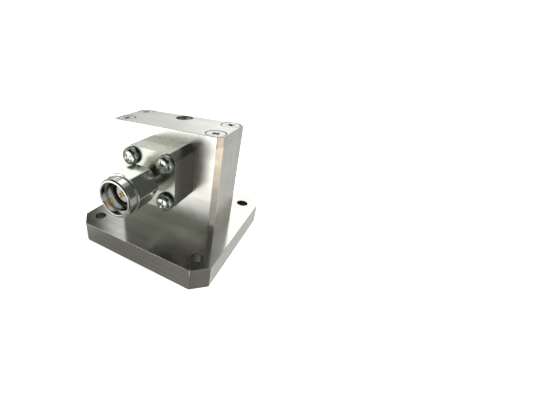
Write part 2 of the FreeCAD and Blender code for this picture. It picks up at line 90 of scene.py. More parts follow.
class Desk:
    """Places and links nodes in one tree, from left to right."""

    COLUMN, ROW, ROWS = 190, -60, 4
    MIX_COLOURS, MIX_RESULT = (6, 7), 2  # sockets that a Mix node uses for colours

    def __init__(self, tree: bpy.types.NodeTree) -> None:
        """Start on a tree."""
        self.tree = tree
        self.count = 0

    def add(self, kind: str, values: Optional[dict] = None, **settings: object) -> bpy.types.Node:
        """Place one node.

        Args:
            kind: The node's type.
            values: Input name or index to a constant, or to the socket that feeds it.
            **settings: Attributes set before the inputs.

        Returns:
            The new node.
        """
        node = self.tree.nodes.new(kind)
        node.location = (self.COLUMN * self.count, self.ROW * (self.count % self.ROWS))
        self.count += 1
        for key, setting in settings.items():
            setattr(node, key, setting)
        for key, value in (values or {}).items():
            self.feed(node.inputs[key], value)
        return node

    def feed(self, socket: Socket, value: Value) -> None:
        """Set an input to a constant, or link a socket into it.

        Args:
            socket: The input.
            value: The constant or the socket.
        """
        if isinstance(value, Socket):
            self.tree.links.new(value, socket)
        else:
            socket.default_value = value

    def maths(self, operation: str, *values: Value, clamp: bool = False) -> Socket:
        """Place a Math node and give its result, which clamp holds between 0 and 1."""
        inputs = dict(enumerate(values))
        return self.add("ShaderNodeMath", inputs, operation=operation, use_clamp=clamp).outputs[0]

    def spread(self, value: Value, low: float, high: float, start: float, end: float) -> Socket:
        """Map a value from low and high to start and end, smoothly and held at the ends."""
        inputs = dict(enumerate((value, low, high, start, end)))
        return self.add("ShaderNodeMapRange", inputs, interpolation_type="SMOOTHSTEP").outputs[0]

    def blend(self, share: Value, first: Value, second: Value) -> Socket:
        """Mix two colours, each given as a colour or as a socket.

        Args:
            share: Share of the second one.
            first: The first one.
            second: The second one.

        Returns:
            The mixed colour.
        """
        node = self.add("ShaderNodeMix", {0: share}, data_type="RGBA")
        for key, value in zip(self.MIX_COLOURS, (first, second)):
            fixed = not isinstance(value, Socket)
            self.feed(node.inputs[key], (*value, 1.0) if fixed else value)
        return node.outputs[self.MIX_RESULT]

    def noise(self, vector: Value, scale: Value, detail: float, roughness: float = 0.5) -> Socket:
        """Place a noise texture and give its value."""
        inputs = {"Vector": vector, "Scale": scale, "Detail": detail, "Roughness": roughness}
        return self.add("ShaderNodeTexNoise", inputs).outputs[0]

    def split(self, vector: Value) -> Sockets:
        """Take a vector apart into X, Y and Z."""
        return self.add("ShaderNodeSeparateXYZ", {0: vector}).outputs

    def join(self, x: Value, y: Value, z: Value) -> Socket:
        """Make a vector of X, Y and Z."""
        return self.add("ShaderNodeCombineXYZ", {0: x, 1: y, 2: z}).outputs[0]


class Effect:
    """A shader node group that several finishes share."""

    def __init__(self, name: str, vectors: Sequence[str], numbers: Sequence[str],
                 results: Sequence[str]) -> None:
        """Make the group's sockets.

        Args:
            name: Name of the group.
            vectors: Names of its vector inputs.
            numbers: Names of its number inputs.
            results: Names of the numbers that it puts out.
        """
        self.tree = bpy.data.node_groups.new(name, "ShaderNodeTree")
        for side, kind, labels in (
            ("INPUT", "NodeSocketVector", vectors),
            ("INPUT", "NodeSocketFloat", numbers),
            ("OUTPUT", "NodeSocketFloat", results),
        ):
            for label in labels:
                self.tree.interface.new_socket(label, in_out=side, socket_type=kind)
        self.desk = Desk(self.tree)
        self.given = self.desk.add("NodeGroupInput").outputs

    def put_out(self, **values: Socket) -> None:
        """Link the values to the group's outputs."""
        self.desk.add("NodeGroupOutput", values)

    def place(self, desk: Desk, **values: Value) -> Sockets:
        """Use the group in a material with these inputs, and give its outputs."""
        return desk.add("ShaderNodeGroup", values, node_tree=self.tree).outputs


class Workshop:
    """The effects that the finishes share, each built once."""

    FACING = 0.75  # a normal past this looks along the axis
    FINE_SHARE = 0.4  # share of the fine lines in the relief, beside the broad ones
    BROAD_LINES, BROAD_RINGS = 0.21, 0.25  # scale of the broad ones
    GRAIN = (2.0, 0.6)  # detail and roughness of the fine ones
    TONE = (0.3, 0.7)  # range of the noise that goes from dark to light
    PATCHES, PATCH_RANGE, LEAST_WORN = 900.0, (0.25, 0.6), 0.45  # how wear breaks up
    CLOUD_RANGE = (0.35, 0.65)
    SPECKS, SPECK_RANGE = 2600.0, (0.05, 0.16)

    def __init__(self) -> None:
        """Build every group."""
        self.milled = self._milled_lines()
        self.turned = self._turned_rings()
        self.wear = self._edge_wear()
        self.handling = self._handling()

    def _milled_lines(self) -> Effect:
        """Fine straight lines: along X, and upright on the faces that look along X.

        Returns:
            The group, which puts out Height and Tone.
        """
        effect = Effect("milled_lines", ("Vector", "Normal"), ("Fine", "Long"), ("Height", "Tone"))
        desk, given = effect.desk, effect.given
        place, facing = desk.split(given["Vector"]), desk.split(given["Normal"])
        sideways = desk.maths("GREATER_THAN", desk.maths("ABSOLUTE", facing[0]), self.FACING)
        sizes = {0: sideways, 2: given["Fine"], 3: given["Long"]}
        upright = desk.add("ShaderNodeMix", sizes, data_type="FLOAT").outputs[0]
        stretched = desk.join(
            desk.maths("MULTIPLY", place[0], given["Long"]),
            desk.maths("MULTIPLY", place[1], given["Fine"]),
            desk.maths("MULTIPLY", place[2], upright),
        )
        fine = desk.maths("MULTIPLY", desk.noise(stretched, 1.0, *self.GRAIN), self.FINE_SHARE)
        broad = desk.noise(stretched, self.BROAD_LINES, 1.0)
        effect.put_out(
            Height=desk.maths("MULTIPLY_ADD", broad, 1 - self.FINE_SHARE, fine),
            Tone=desk.spread(broad, *self.TONE, 0.0, 1.0),
        )
        return effect

    def _turned_rings(self) -> Effect:
        """Rings round the connector axis, by the distance from it and along it.

        Returns:
            The group, which puts out Height and Tone.
        """
        effect = Effect("turned_rings", ("Vector",), ("Fine",), ("Height", "Tone"))
        desk, given = effect.desk, effect.given
        place = desk.split(given["Vector"])
        flat = desk.join(place[0], 0.0, place[2])
        radius = desk.add("ShaderNodeVectorMath", {0: flat}, operation="LENGTH").outputs["Value"]
        across = desk.maths("MULTIPLY", radius, given["Fine"])
        along = desk.maths("MULTIPLY", place[1], given["Fine"])
        rings = desk.join(across, along, 0.0)
        broad = desk.noise(rings, self.BROAD_RINGS, 1.0)
        fine = desk.noise(rings, 1.0, *self.GRAIN)
        effect.put_out(Height=fine, Tone=desk.spread(broad, *self.TONE, 0.0, 1.0))
        return effect

    def _edge_wear(self) -> Effect:
        """Where a surface turns a corner, broken up a little.

        Returns:
            The group, which puts out Mask.
        """
        effect = Effect("edge_wear", ("Vector",), ("Radius", "Gain"), ("Mask",))
        desk, given = effect.desk, effect.given
        rounded = desk.add("ShaderNodeBevel", {"Radius": given["Radius"]}, samples=4).outputs[0]
        true = desk.add("ShaderNodeNewGeometry").outputs["True Normal"]
        pair = {0: rounded, 1: true}
        alike = desk.add("ShaderNodeVectorMath", pair, operation="DOT_PRODUCT").outputs["Value"]
        turned = desk.maths("MULTIPLY", desk.maths("SUBTRACT", 1.0, alike), given["Gain"])
        uneven = desk.noise(given["Vector"], self.PATCHES, 3.0)
        patches = desk.spread(uneven, *self.PATCH_RANGE, self.LEAST_WORN, 1.0)
        effect.put_out(Mask=desk.maths("MULTIPLY", turned, patches, clamp=True))
        return effect

    def _handling(self) -> Effect:
        """Faint clouds and specks left by handling.

        Returns:
            The group, which puts out Cloud and Speck.
        """
        effect = Effect("handling", ("Vector",), ("Scale",), ("Cloud", "Speck"))
        desk, given = effect.desk, effect.given
        cloud = desk.noise(given["Vector"], given["Scale"], 4.0)
        dots = {"Vector": given["Vector"], "Scale": self.SPECKS}
        speck = desk.add("ShaderNodeTexVoronoi", dots, feature="F1").outputs["Distance"]
        effect.put_out(
            Cloud=desk.spread(cloud, *self.CLOUD_RANGE, 0.0, 1.0),
            Speck=desk.spread(speck, *self.SPECK_RANGE, 1.0, 0.0),
        )
        return effect


# --- Finishes ---


def port_axis() -> tuple[float, float]:
    """X and Z of the connector axis in metres, from the turned shell's box."""
    low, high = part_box("connector_shell")
    return (low.x + high.x) / 2, (low.z + high.z) / 2


AXIS_X, AXIS_Z = port_axis()
COVER_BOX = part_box("cover_plate")
CLOSE = 0.01 * MM  # edges nearer than this to a face lie on it
BUMP_DEPTH = 0.00002


def blank_material(name: str) -> tuple[bpy.types.Material, Desk]:
    """Make a material without nodes.

    Args:
        name: Its name.

    Returns:
        The material and a desk for its nodes.
    """
    made = bpy.data.materials.new(name)
    made.use_nodes = True
    made.node_tree.nodes.clear()
    return made, Desk(made.node_tree)


def round_axis(desk: Desk, place: Socket) -> Socket:
    """Centre Object coordinates on the connector axis."""
    shift = {"Vector": place, "Location": (-AXIS_X, 0.0, -AXIS_Z)}
    return desk.add("ShaderNodeMapping", shift).outputs[0]


def scaled(colour: Colour, gain: float, lift: float = 0.0) -> Colour:
    """Brighten or darken a colour, held below white."""
    return tuple(min(1.0, channel * gain + lift) for channel in colour)


@dataclass(frozen=True)
class MetalFinish:
    """A machined or plated metal.

    The colour is the clean metal, and the shade is where handling has dulled it. Fine is the number of
    tool marks in a metre, which are stretch times as long as wide. Drag draws the highlights out level,
    and ground is added to the roughness of faces that look along Y.
    """

    name: str
    colour: Colour
    shade: Colour
    roughness: float
    roughness_spread: float
    cut: Cut = Cut.MILLED
    fine: float = 3000.0
    stretch: float = 60.0
    line_depth: float = 0.08
    line_tone: float = 0.05
    edge_radius: float = 0.2
    edge_gain: float = 4.0
    edge_bright: tuple[float, float] = (1.12, 0.02)
    drag: float = 0.0
    ground: float = 0.0
    cloud_scale: float = 140.0
    cloud_share: float = 0.35
    speck_roughness: float = 0.04
    # painted shade: the colour is scaled by this where the shade attribute is full
    painted_shade_gain: float = 0.2

    def material(self, shop: Workshop) -> bpy.types.Material:
        """Build the material, which reads Object coordinates.

        Args:
            shop: The shared effects.

        Returns:
            The material.
        """
        made, desk = blank_material(self.name)
        spot = desk.add("ShaderNodeTexCoord").outputs
        place, normal = spot["Object"], spot["Normal"]
        if self.cut is Cut.MILLED:
            long = self.fine / self.stretch
            lines = shop.milled.place(desk, Vector=place, Normal=normal, Fine=self.fine, Long=long)
        else:
            lines = shop.turned.place(desk, Vector=round_axis(desk, place), Fine=self.fine)
        touch = shop.handling.place(desk, Vector=place, Scale=self.cloud_scale)
        corner = {"Vector": place, "Radius": self.edge_radius * MM, "Gain": self.edge_gain}
        edge = shop.wear.place(desk, **corner)["Mask"]
        dark, light = scaled(self.colour, 1 - self.line_tone), scaled(self.colour, 1 + self.line_tone)
        lined = desk.blend(lines["Tone"], dark, light)
        dulled = desk.blend(desk.maths("MULTIPLY", touch["Cloud"], self.cloud_share), lined, self.shade)
        worn = desk.blend(edge, dulled, scaled(self.colour, *self.edge_bright))
        # Painted shade in holes, recesses and on shaded sides, from the shade attribute
        sunk = desk.add("ShaderNodeAttribute", attribute_name=PAINTED_SHADE).outputs["Fac"]
        coloured = desk.blend(sunk, worn, scaled(self.colour, self.painted_shade_gain))
        low, high = self.roughness - self.roughness_spread, self.roughness + self.roughness_spread
        cloudy = desk.spread(touch["Cloud"], 0.0, 1.0, low, high)
        rough = desk.maths("MULTIPLY_ADD", touch["Speck"], self.speck_roughness, cloudy)
        if self.ground:
            along = desk.maths("ABSOLUTE", desk.split(normal)[1])
            ends = desk.maths("GREATER_THAN", along, shop.FACING)
            rough = desk.maths("MULTIPLY_ADD", ends, self.ground, rough)
        relief = {"Strength": self.line_depth, "Distance": BUMP_DEPTH, "Height": lines["Height"]}
        shader = desk.add("ShaderNodeBsdfPrincipled", {
            "Base Color": coloured,
            "Metallic": 1.0,
            "Roughness": rough,
            "Anisotropic": self.drag,
            "Normal": desk.add("ShaderNodeBump", relief).outputs[0],
        })
        if self.drag:
            tangent = desk.add("ShaderNodeTangent", direction_type="RADIAL", axis="Z").outputs[0]
            desk.feed(shader.inputs["Tangent"], tangent)
        desk.add("ShaderNodeOutputMaterial", {0: shader.outputs[0]})
        return made


@dataclass(frozen=True)
class PlainFinish:
    """A plastic or rubber: milky or matt, with faint mottling and turning marks."""

    name: str
    colour: Colour
    shade: Colour
    roughness: float
    glow: float = 0.0
    glow_depth: float = 0.6
    grain: float = 1800.0
    grain_depth: float = 0.1
    grain_roughness: float = 0.08
    mottle_scale: float = 500.0
    mottle_share: float = 0.6

    def material(self, shop: Workshop) -> bpy.types.Material:
        """Build the material, which reads Object coordinates.

        Args:
            shop: The shared effects.

        Returns:
            The material.
        """
        made, desk = blank_material(self.name)
        place = desk.add("ShaderNodeTexCoord").outputs["Object"]
        rings = shop.turned.place(desk, Vector=round_axis(desk, place), Fine=self.grain)
        touch = shop.handling.place(desk, Vector=place, Scale=self.mottle_scale)
        share = desk.maths("MULTIPLY", touch["Cloud"], self.mottle_share)
        relief = {"Strength": self.grain_depth, "Distance": BUMP_DEPTH, "Height": rings["Height"]}
        shader = desk.add("ShaderNodeBsdfPrincipled", {
            "Base Color": desk.blend(share, self.colour, self.shade),
            "Roughness": desk.maths("MULTIPLY_ADD", rings["Tone"], self.grain_roughness, self.roughness),
            "Subsurface Weight": self.glow,
            "Subsurface Scale": self.glow_depth * MM,
            "Normal": desk.add("ShaderNodeBump", relief).outputs[0],
        })
        desk.add("ShaderNodeOutputMaterial", {0: shader.outputs[0]})
        return made


FINISHES: tuple[Union[MetalFinish, PlainFinish], ...] = (
    MetalFinish("flange_metal", (0.80, 0.80, 0.77), (0.72, 0.71, 0.67), 0.15, 0.02),
    MetalFinish("body_metal", (0.84, 0.84, 0.80), (0.78, 0.77, 0.73), 0.24, 0.02, drag=0.25, ground=0.09),
    MetalFinish("cover_metal", (0.84, 0.84, 0.82), (0.79, 0.79, 0.76), 0.30, 0.03),
    MetalFinish("block_metal", (0.58, 0.58, 0.53), (0.53, 0.52, 0.475), 0.26, 0.02),
    MetalFinish("screw_steel", (0.57, 0.64, 0.57), (0.49, 0.56, 0.49), 0.14, 0.03,
                fine=4500.0, line_depth=0.03),
    MetalFinish("shell_steel", (0.72, 0.71, 0.67), (0.62, 0.60, 0.56), 0.16, 0.03, cut=Cut.TURNED),
    MetalFinish("spring_steel", (0.50, 0.48, 0.44), (0.42, 0.40, 0.36), 0.30, 0.05, cut=Cut.TURNED),
    MetalFinish("nut_steel", (0.73, 0.76, 0.71), (0.67, 0.69, 0.65), 0.17, 0.02, cut=Cut.TURNED,
                edge_radius=0.08, edge_gain=2.0),
    PlainFinish("seal_rubber", (0.05, 0.03, 0.03), (0.09, 0.05, 0.04), 0.55),
    PlainFinish("dielectric", (0.86, 0.88, 0.92), (0.80, 0.82, 0.88), 0.42, glow=0.3),
    MetalFinish("gold", (0.95, 0.62, 0.20), (0.86, 0.52, 0.14), 0.18, 0.03, cut=Cut.TURNED),
)


# --- Meshes ---


def new_piece(name: str, mesh: bpy.types.Mesh) -> Piece:
    """Put a mesh into the scene as an object at the origin.

    Args:
        name: Name of the object.
        mesh: Its mesh.

    Returns:
        The object.
    """
    piece = bpy.data.objects.new(name, mesh)
    bpy.context.scene.collection.objects.link(piece)
    return piece


def bake_modifiers(piece: Piece) -> Piece:
    """Turn a piece with modifiers into a plain mesh.

    Args:
        piece: The piece, whose modifiers are removed.

    Returns:
        The same piece with its evaluated mesh.
    """
    bpy.context.view_layer.update()
    evaluated = piece.evaluated_get(bpy.context.evaluated_depsgraph_get())
    result = bpy.data.meshes.new_from_object(evaluated)
    piece.modifiers.clear()
    old = piece.data
    piece.data = result
    result.name = piece.name
    bpy.data.meshes.remove(old)
    return piece


def soften(piece: Piece, width: float, limit: float = 28.0, share: Optional[EdgeShare] = None) -> Piece:
    """Round a piece's sharp edges and shade the rest smoothly.

    Args:
        piece: The piece.
        width: Width of the rounding.
        limit: Edges sharper than this angle are rounded.
        share: Share of the width for an edge between two points, or None for the full width.

    Returns:
        The piece with a plain mesh.
    """
    mesh = piece.data
    mesh.shade_smooth()
    mesh.set_sharp_from_angle(angle=math.radians(limit))
    sharp = mesh.attributes["sharp_edge"].data if "sharp_edge" in mesh.attributes else ()
    shares = [0.0] * len(mesh.edges)
    for index, mark in enumerate(sharp):
        if mark.value:
            ends = [mesh.vertices[corner].co for corner in mesh.edges[index].vertices]
            shares[index] = share(*ends) if share else 1.0
    weights = mesh.attributes.new("bevel_weight_edge", "FLOAT", "EDGE")
    weights.data.foreach_set("value", shares)
    rounding = piece.modifiers.new("edge_rounding", "BEVEL")
    rounding.width = width * MM
    rounding.segments = 2
    rounding.limit_method = "WEIGHT"
    rounding.use_clamp_overlap = True
    evening = piece.modifiers.new("face_normals", "WEIGHTED_NORMAL")
    evening.mode = "FACE_AREA"
    evening.keep_sharp = True
    return bake_modifiers(piece)


def merged_copy(node: str, name: str) -> Piece:
    """Copy a solid's mesh, with its loose triangles merged into whole faces.

    Args:
        node: The CAD node.
        name: Name of the new piece.

    Returns:
        The copy.
    """
    same_point, same_plane = 1e-6, math.radians(0.6)  # metres, and the angle between faces
    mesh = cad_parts[node].data.copy()
    mesh.materials.clear()
    work = bmesh.new()
    work.from_mesh(mesh)
    bmesh.ops.remove_doubles(work, verts=work.verts, dist=same_point)
    bmesh.ops.dissolve_limit(work, angle_limit=same_plane, verts=work.verts, edges=work.edges)
    work.to_mesh(mesh)
    work.free()
    return new_piece(name, mesh)


def paint_face_shade(piece: Piece, depth: FaceMark) -> Piece:
    """Paint shade on each face by how deep it lies in a hole or how it faces, as a mark for its finish.

    Args:
        piece: The piece, which gets the attribute.
        depth: The mark, from the face's middle in millimetres and its normal.

    Returns:
        The same piece.
    """
    mesh = piece.data
    marks = mesh.attributes.new(PAINTED_SHADE, "FLOAT", "FACE")
    marks.data.foreach_set("value", [depth(face.center / MM, face.normal) for face in mesh.polygons])
    return piece


def loft(name: str, loops: Sequence[Loop], closed: bool) -> Piece:
    """Skin a row of loops that have the same number of points.

    Args:
        name: Name of the piece.
        loops: The loops, in order along the surface.
        closed: Whether the last loop joins the first; otherwise both ends are capped.

    Returns:
        The piece, with its faces pointing outwards.
    """
    same_point = 1e-8
    work = bmesh.new()
    rows = [[work.verts.new(point) for point in loop] for loop in loops]
    count = len(rows[0])
    pairs = list(zip(rows, rows[1:]))
    if closed:
        pairs.append((rows[-1], rows[0]))
    for first, second in pairs:
        for k in range(count):
            after = (k + 1) % count
            work.faces.new((first[k], first[after], second[after], second[k]))
    if not closed:
        for row in (rows[0], rows[-1]):
            work.faces.new(row)
    bmesh.ops.remove_doubles(work, verts=work.verts, dist=same_point)
    bmesh.ops.recalc_face_normals(work, faces=work.faces)
    mesh = bpy.data.meshes.new(name)
    work.to_mesh(mesh)
    work.free()
    return new_piece(name, mesh)


def axis_point(angle: float, radius: float, distance: float) -> Vector:
    """Point at an angle in radians round the connector axis and a distance along it."""
    x, z = radius * MM * math.cos(angle), radius * MM * math.sin(angle)
    return Vector((AXIS_X + x, -distance * MM, AXIS_Z + z))


def turned_piece(name: str, profile: Profile, turns: int, closed: bool) -> Piece:
    """Turn a profile about the connector axis; one that isn't closed has its ends capped."""
    angles = [2 * math.pi * k / turns for k in range(turns)]
    return loft(name, [[axis_point(angle, *pair) for angle in angles] for pair in profile], closed)


# --- Geometry node trees ---


class Recipe:
    """A geometry node tree with named inputs, run once on a piece."""

    def __init__(self, name: str, inputs: dict[str, tuple[str, object]]) -> None:
        """Make the tree's sockets.

        Args:
            name: Name of the tree.
            inputs: Input name to its socket type and value.
        """
        self.tree = bpy.data.node_groups.new(name, "GeometryNodeTree")
        self.tree.interface.new_socket("Geometry", in_out="INPUT", socket_type="NodeSocketGeometry")
        self.values = {}
        for label, (kind, value) in inputs.items():
            socket = self.tree.interface.new_socket(label, in_out="INPUT", socket_type=kind)
            self.values[socket.identifier] = value
        self.tree.interface.new_socket("Geometry", in_out="OUTPUT", socket_type="NodeSocketGeometry")
        self.desk = Desk(self.tree)
        self.given = self.desk.add("NodeGroupInput").outputs

    def end(self, geometry: Socket) -> None:
        """Close the tree with Realize Instances and Set Material.

        Args:
            geometry: What the tree has made.
        """
        whole = self.desk.add("GeometryNodeRealizeInstances", {0: geometry}).outputs[0]
        dressing = {"Geometry": whole, "Material": self.given["Finish"]}
        dressed = self.desk.add("GeometryNodeSetMaterial", dressing).outputs[0]
        self.desk.add("NodeGroupOutput", {0: dressed})

    def run(self, piece: Piece) -> Piece:
        """Apply the tree to a piece and bake it.

        Args:
            piece: The piece with the start geometry.

        Returns:
            The same piece with a plain mesh.
        """
        modifier = piece.modifiers.new(self.tree.name, "NODES")
        modifier.node_group = self.tree
        for identifier, value in self.values.items():
            modifier[identifier] = value
        return bake_modifiers(piece)


# --- Sub-assemblies ---


class Assembly:
    """A group of pieces that ride on one body."""

    def __init__(self, body: str, finishes: dict[str, bpy.types.Material]) -> None:
        """Keep the body and the materials by slot."""
        self.body = body
        self.finishes = finishes

    def settle(self, piece: Piece, slot: str, *nodes: str) -> None:
        """Dress a piece, let it ride on the body and stand for its solids.

        Args:
            piece: The piece.
            slot: The record's material slot.
            *nodes: The CAD nodes that it stands for.
        """
        piece.data.materials.clear()
        piece.data.materials.append(self.finishes[slot])
        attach(piece, self.body)
        if nodes:
            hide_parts(*nodes)
        log.info("%s: %d faces on %s", piece.name, len(piece.data.polygons), self.body)

    def dress_node(self, node: str, slot: str) -> None:
        """Give a CAD node that stays its finish.

        Args:
            node: The CAD node.
            slot: The record's material slot.
        """
        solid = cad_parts[node]
        solid.data.materials.clear()
        solid.data.materials.append(self.finishes[slot])
        log.info("%s: solid dressed as %s", node, slot)


def four_nodes(stem: str, rows: Sequence[str]) -> list[str]:
    """Name the CAD nodes of four screws, by row and side."""
    return [f"{stem}_{row}_{side}" for row in rows for side in ("left", "right")]


@dataclass(frozen=True)
class CrossScrew:
    """A screw with a cross recess, standing along +Z with its head on top and its seat at zero.

    The head is a dome whose power sets how boxy it is, or flat with a narrow land where that is 0.
    The recess goes down in rings. Shares are of its depth, of its reach or of an arm's half width.
    """

    head_radius: float
    head_height: float
    underside: float
    dome: float
    reach: float
    half_width: float
    depth: float
    # painted shade deep in the cross
    recess_shade: float
    shank_radius: float = 1.25
    point: float = 0.3
    land: float = 0.06
    dome_steps: int = 14
    rim_reach: float = 1.05
    rim_gap: float = 0.01
    arm_end: float = 0.04
    arm_growth: float = 0.8
    arm_power: float = 7.0
    rim: Profile = ((0.05, 0.0), (0.0, 0.0), (-0.03, 0.04))
    depths: tuple[float, ...] = (0.35, 0.7, 1.0)
    reach_taper: float = 0.52
    width_taper: float = 0.25
    # depth and margin of the painted shade in the cross, then the painted contact shadow at a dome's foot
    dark_depth: float = 0.3
    dark_margin: float = 0.1
    foot_shade: float = 1.25
    foot_gain: float = 1.1
    foot_reach: float = 1.2
    turns: int = 96
    smooth_limit: float = 38.0

    def height_at(self, radius: float) -> float:
        """Find the height of the head's surface above its seat.

        Args:
            radius: Distance from the axis.

        Returns:
            The height.
        """
        if self.dome <= 0:
            return self.head_height
        share = min(1.0, radius / self.head_radius)
        return self.head_height * (1 - share ** self.dome) ** (1 / self.dome)

    def arm_radius(self, angle: float, reach: float, half_width: float) -> float:
        """Distance from the middle to the outline of a cross.

        Args:
            angle: Direction in radians.
            reach: Length of an arm from the middle.
            half_width: Half the width of an arm.

        Returns:
            The distance.
        """
        across, along = sorted((abs(math.cos(angle)), abs(math.sin(angle))))
        power = self.arm_power
        return ((along / reach) ** power + (across / half_width) ** power) ** (-1 / power)

    def build(self, name: str, length: float) -> Piece:
        """Make the screw.

        Args:
            name: Name of the piece.
            length: Length of the shank below the seat.

        Returns:
            The screw as a plain mesh.
        """
        angles = [2 * math.pi * k / self.turns for k in range(self.turns)]

        def ring(radius: Callable[[float], float], height: Callable[[float], float]) -> Loop:
            """One loop, with a radius for each direction and a height for each radius."""
            spots = [(a, radius(a)) for a in angles]
            return [Vector((r * math.cos(a), r * math.sin(a), height(r))) * MM for a, r in spots]

        def circle(radius: float, height: float) -> Loop:
            """One round and level loop."""
            return ring(lambda _: radius, lambda _: height)

        def cross(reach: float, half_width: float, height: Callable[[float], float]) -> Loop:
            """One loop in the shape of a cross."""
            return ring(lambda a: self.arm_radius(a, reach, half_width), height)

        loops = [
            circle(self.shank_radius - self.point, -length),
            circle(self.shank_radius, self.point - length),
            circle(self.shank_radius, -self.underside),
            circle(self.head_radius, 0.0),
        ]
        rim_radius = self.reach * self.rim_reach
        if self.dome > 0:
            for step in range(1, self.dome_steps):
                lift = math.pi / 2 * step / self.dome_steps
                radius = self.head_radius * math.cos(lift) ** (2 / self.dome)
                if radius > rim_radius + self.rim_gap * self.reach:
                    loops.append(circle(radius, self.height_at(radius)))
        else:
            loops.append(circle(self.head_radius, self.head_height - self.land))
            loops.append(circle(self.head_radius - self.land, self.head_height))
        loops.append(circle(rim_radius, self.height_at(rim_radius)))
        for grow, sink in self.rim:
            reach = self.reach - self.arm_end + grow * self.arm_growth
            loops.append(cross(reach, self.half_width + grow, lambda r, s=sink: self.height_at(r) - s))
        for share in self.depths:
            reach = self.reach * (1 - self.reach_taper * share)
            half_width = self.half_width * (1 - self.width_taper * share)
            loops.append(cross(reach, half_width, lambda _, s=share: self.head_height - self.depth * s))
        piece = loft(name, loops, closed=False)
        piece.data.shade_smooth()
        piece.data.set_sharp_from_angle(angle=math.radians(self.smooth_limit))
        # Painted shade in the cross and painted contact shadow at the dome's foot
        marks = [self.mark_at(vertex.co / MM) for vertex in piece.data.vertices]
        piece.data.attributes.new(PAINTED_SHADE, "FLOAT", "POINT").data.foreach_set("value", marks)
        return piece

    def mark_at(self, place: Vector) -> float:
        """Painted shade of a point: deep in the cross, or a painted contact shadow at the foot of a dome.

        Args:
            place: The point in millimetres.

        Returns:
            Its mark for the finish.
        """
        radius = math.hypot(place.x, place.y)
        below = -self.depth - self.dark_margin
        sunk = self.height_at(radius) - place.z if radius < self.reach and place.z > below else 0.0
        cross = self.recess_shade * min(1.0, max(0.0, sunk / (self.dark_depth * self.depth)))
        on_foot = self.dome > 0 and place.z >= 0 and radius > self.reach * self.foot_reach
        foot = self.foot_gain * max(0.0, 1 - place.z / self.foot_shade) if on_foot else 0.0
        return max(cross, min(1.0, foot))

    def row(self, name: str, nodes: Sequence[str], turns: Sequence[float], up: Vector,
            finish: bpy.types.Material) -> Piece:
        """Set the screw where its solids are, as long as they are.

        Args:
            name: Name of the piece.
            nodes: The CAD nodes of the screws.
            turns: Turn of each screw about its own axis.
            up: Direction from a seat to its head: +Z, or -Y for a screw that lies.
            finish: Material of the screws.

        Returns:
            One piece with all the screws.
        """
        seats, total = [], 0.0
        for node in nodes:
            low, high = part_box(node)
            half = (high - low) / 2
            to_face = Vector([side * size for side, size in zip(up, half)])
            seats.append(low + half + to_face - up * self.head_height * MM)
            total = 2 * to_face.length / MM
        screw = self.build(name + "_shape", total - self.head_height)
        points = bpy.data.meshes.new(name + "_points")
        points.from_pydata(seats, [], [])
        turn = points.attributes.new("turn", "FLOAT", "POINT")
        turn.data.foreach_set("value", [math.radians(angle) for angle in turns])
        recipe = Recipe(name + "_layout", {
            "Screw": ("NodeSocketObject", screw),
            "Tilt": ("NodeSocketVector", (math.acos(up.z), 0.0, 0.0)),
            "Finish": ("NodeSocketMaterial", finish),
        })
        desk, given = recipe.desk, recipe.given
        shape = desk.add("GeometryNodeObjectInfo", {"Object": given["Screw"], "As Instance": True})
        angle = desk.add("GeometryNodeInputNamedAttribute", {"Name": "turn"}, data_type="FLOAT")
        spin = {"Axis": (0.0, 0.0, 1.0), "Angle": angle.outputs["Attribute"]}
        order = {
            "Rotation": desk.add("FunctionNodeEulerToRotation", {0: given["Tilt"]}).outputs[0],
            "Rotate By": desk.add("FunctionNodeAxisAngleToRotation", spin).outputs[0],
        }
        recipe.end(desk.add("GeometryNodeInstanceOnPoints", {
            "Points": desk.add("GeometryNodeMeshToPoints", {0: given["Geometry"]}).outputs[0],
            "Instance": shape.outputs["Geometry"],
            "Rotation": desk.add("FunctionNodeRotateRotation", order, rotation_space="LOCAL").outputs[0],
        }).outputs[0])
        piece = recipe.run(new_piece(name, points))
        bpy.data.objects.remove(screw)
        return piece


@dataclass
class FlangePlate:
    """The square flange with its softened edges."""

    edge: float = 0.14
    hole_x: float = 16.255
    hole_y: float = 15.495
    hole_reach: float = 1.815
    steep: float = 0.4
    # painted shade on the walls of the bolt holes
    rear_shade: float = 0.65
    front_shade: float = 0.5

    def build(self, crew: Assembly) -> None:
        """Dress the flange."""
        plate = soften(merged_copy("flange", "flange_plate"), self.edge)
        crew.settle(paint_face_shade(plate, self.in_hole), "flange_metal", "flange")

    def in_hole(self, middle: Vector, normal: Vector) -> float:
        """Paint shade on the walls of the bolt holes, more at the rear.

        Args:
            middle: Middle of a face.
            normal: Its normal.

        Returns:
            The mark.
        """
        off = math.hypot(abs(middle.x) - self.hole_x, abs(middle.y) - self.hole_y)
        shade = self.rear_shade if middle.y > 0 else self.front_shade
        return shade if off < self.hole_reach and abs(normal.z) < self.steep else 0.0


